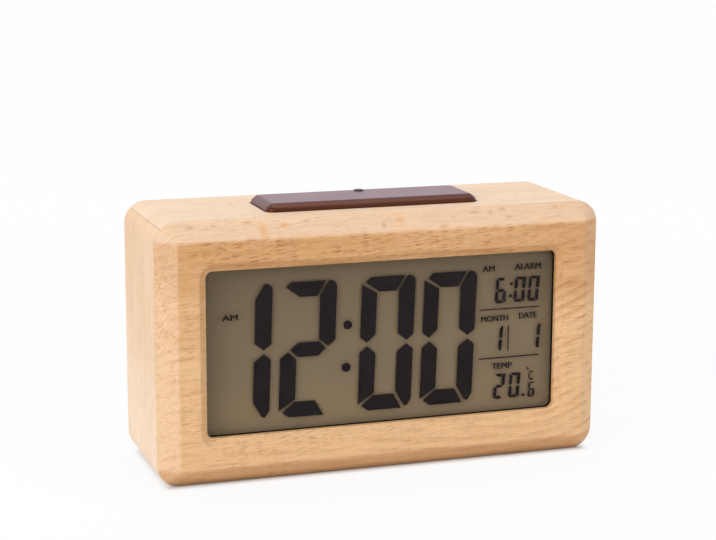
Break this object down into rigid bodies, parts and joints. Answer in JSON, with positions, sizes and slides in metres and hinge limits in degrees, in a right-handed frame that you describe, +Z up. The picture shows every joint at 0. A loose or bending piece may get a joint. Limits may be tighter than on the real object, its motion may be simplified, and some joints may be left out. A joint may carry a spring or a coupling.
{
  "type": "digital alarm clock",
  "caption": "Digital alarm clock in a chamfered beech case, with a liquid crystal display, a press bar on top, and push buttons, slide knobs and a battery door on the back.",
  "frame": {"origin": "on the table, under the middle of the case", "axes": "+X along the front from left to right, +Y from the front to the back, +Z up"},
  "size_m": [0.145, 0.048, 0.0849],
  "materials": {
    "beech": "light beech with short dark ray flecks, satin clear finish",
    "brown_plastic": "fine moulded texture with a soft sheen",
    "clear_plastic": "clear and polished",
    "display_glass": "clear sheet glass",
    "front_film": "grey film, slightly matt",
    "olive_film": "olive-grey reflective film",
    "segment_ink": "dark switched liquid crystal",
    "guide_plastic": "clear acrylic",
    "white_film": "white reflector",
    "lamp_resin": "cast resin",
    "contact_rubber": "striped conductive rubber",
    "tray_plastic": "moulded",
    "circuit_board": "green lacquer",
    "black_resin": "cast resin",
    "can_metal": "bright can",
    "capacitor_sleeve": "shrunk sleeve",
    "chip_ceramic": "fired ceramic",
    "screw_steel": "zinc plated",
    "spring_steel": "drawn wire, plated",
    "contact_metal": "nickel plated strip",
    "switch_plastic": "moulded",
    "plunger_plastic": "moulded",
    "cover_plastic": "fine moulded texture",
    "button_plastic": "moulded with a soft sheen",
    "cell_can": "printed sleeve over a metal can",
    "buzzer_brass": "thin rolled disc",
    "red_insulation": "extruded insulation",
    "black_insulation": "extruded insulation",
    "ribbon_plastic": "flat ribbon of joined wires"
  },
  "bodies": {
    "case": {"back_cover": "cover_plastic", "backlight_leds": "lamp_resin", "bar_holder": "tray_plastic", "battery_cells": "cell_can", "battery_contacts": "contact_metal", "battery_lead_black": "black_insulation", "battery_lead_red": "red_insulation", "battery_springs": "spring_steel", "bottom_plank": "beech", "buzzer": "buzzer_brass", "buzzer_leads": "black_insulation", "capacitors": "capacitor_sleeve", "chip_parts": "chip_ceramic", "controller_blob": "black_resin", "cover_screws": "screw_steel", "crystal": "can_metal", "display_tray": "tray_plastic", "front_frame": "beech", "holder_screws": "screw_steel", "key_board": "circuit_board", "key_board_screws": "screw_steel", "key_ribbon": "ribbon_plastic", "key_switches": "switch_plastic", "lcd_front_glass": "display_glass", "lcd_front_polarizer": "front_film", "lcd_rear_glass": "display_glass", "lcd_rear_polarizer": "olive_film", "lcd_segments": "segment_ink", "left_plank": "beech", "light_guide": "guide_plastic", "light_sensor": "lamp_resin", "main_board": "circuit_board", "main_board_screws": "screw_steel", "reflector_sheet": "white_film", "right_plank": "beech", "slide_switches": "switch_plastic", "snooze_board": "circuit_board", "snooze_ribbon": "ribbon_plastic", "snooze_springs": "spring_steel", "snooze_switch": "switch_plastic", "thermistor": "black_resin", "top_plank": "beech", "tray_screws": "screw_steel", "window_lens": "clear_plastic", "zebra_strip": "contact_rubber"},
    "snooze": {"snooze_bar": "brown_plastic", "sensor_lens": "clear_plastic", "snooze_plunger": "plunger_plastic"},
    "mode_key": {"mode_button": "button_plastic", "mode_plunger": "plunger_plastic"},
    "set_key": {"set_button": "button_plastic", "set_plunger": "plunger_plastic"},
    "up_key": {"up_button": "button_plastic", "up_plunger": "plunger_plastic"},
    "down_key": {"down_button": "button_plastic", "down_plunger": "plunger_plastic"},
    "alarm_knob": {"alarm_slider": "button_plastic"},
    "light_knob": {"light_slider": "button_plastic"},
    "door": {"battery_door": "cover_plastic"}
  },
  "joints": [
    {"name": "snooze_press", "type": "slide", "parent": "case", "child": "snooze", "axis": [0, 0, -1], "range_m": [0, 0.001], "stiffness_N_per_m": 1000, "springref_m": -0.0008, "deforming": ["snooze_springs"]},
    {"name": "mode_press", "type": "slide", "parent": "case", "child": "mode_key", "axis": [0, -1, 0], "range_m": [0, 0.0006], "stiffness_N_per_m": 1500, "springref_m": -0.0006},
    {"name": "set_press", "type": "slide", "parent": "case", "child": "set_key", "axis": [0, -1, 0], "range_m": [0, 0.0006], "stiffness_N_per_m": 1500, "springref_m": -0.0006},
    {"name": "up_press", "type": "slide", "parent": "case", "child": "up_key", "axis": [0, -1, 0], "range_m": [0, 0.0006], "stiffness_N_per_m": 1500, "springref_m": -0.0006},
    {"name": "down_press", "type": "slide", "parent": "case", "child": "down_key", "axis": [0, -1, 0], "range_m": [0, 0.0006], "stiffness_N_per_m": 1500, "springref_m": -0.0006},
    {"name": "alarm_slide", "type": "slide", "parent": "case", "child": "alarm_knob", "axis": [1, 0, 0], "range_m": [0, 0.003]},
    {"name": "light_slide", "type": "slide", "parent": "case", "child": "light_knob", "axis": [1, 0, 0], "range_m": [0, 0.003]},
    {"name": "door_hinge", "type": "hinge", "parent": "case", "child": "door", "pos_m": [0, 0.0209, 0.0123], "axis": [-1, 0, 0], "range_deg": [0, 90]}
  ]
}
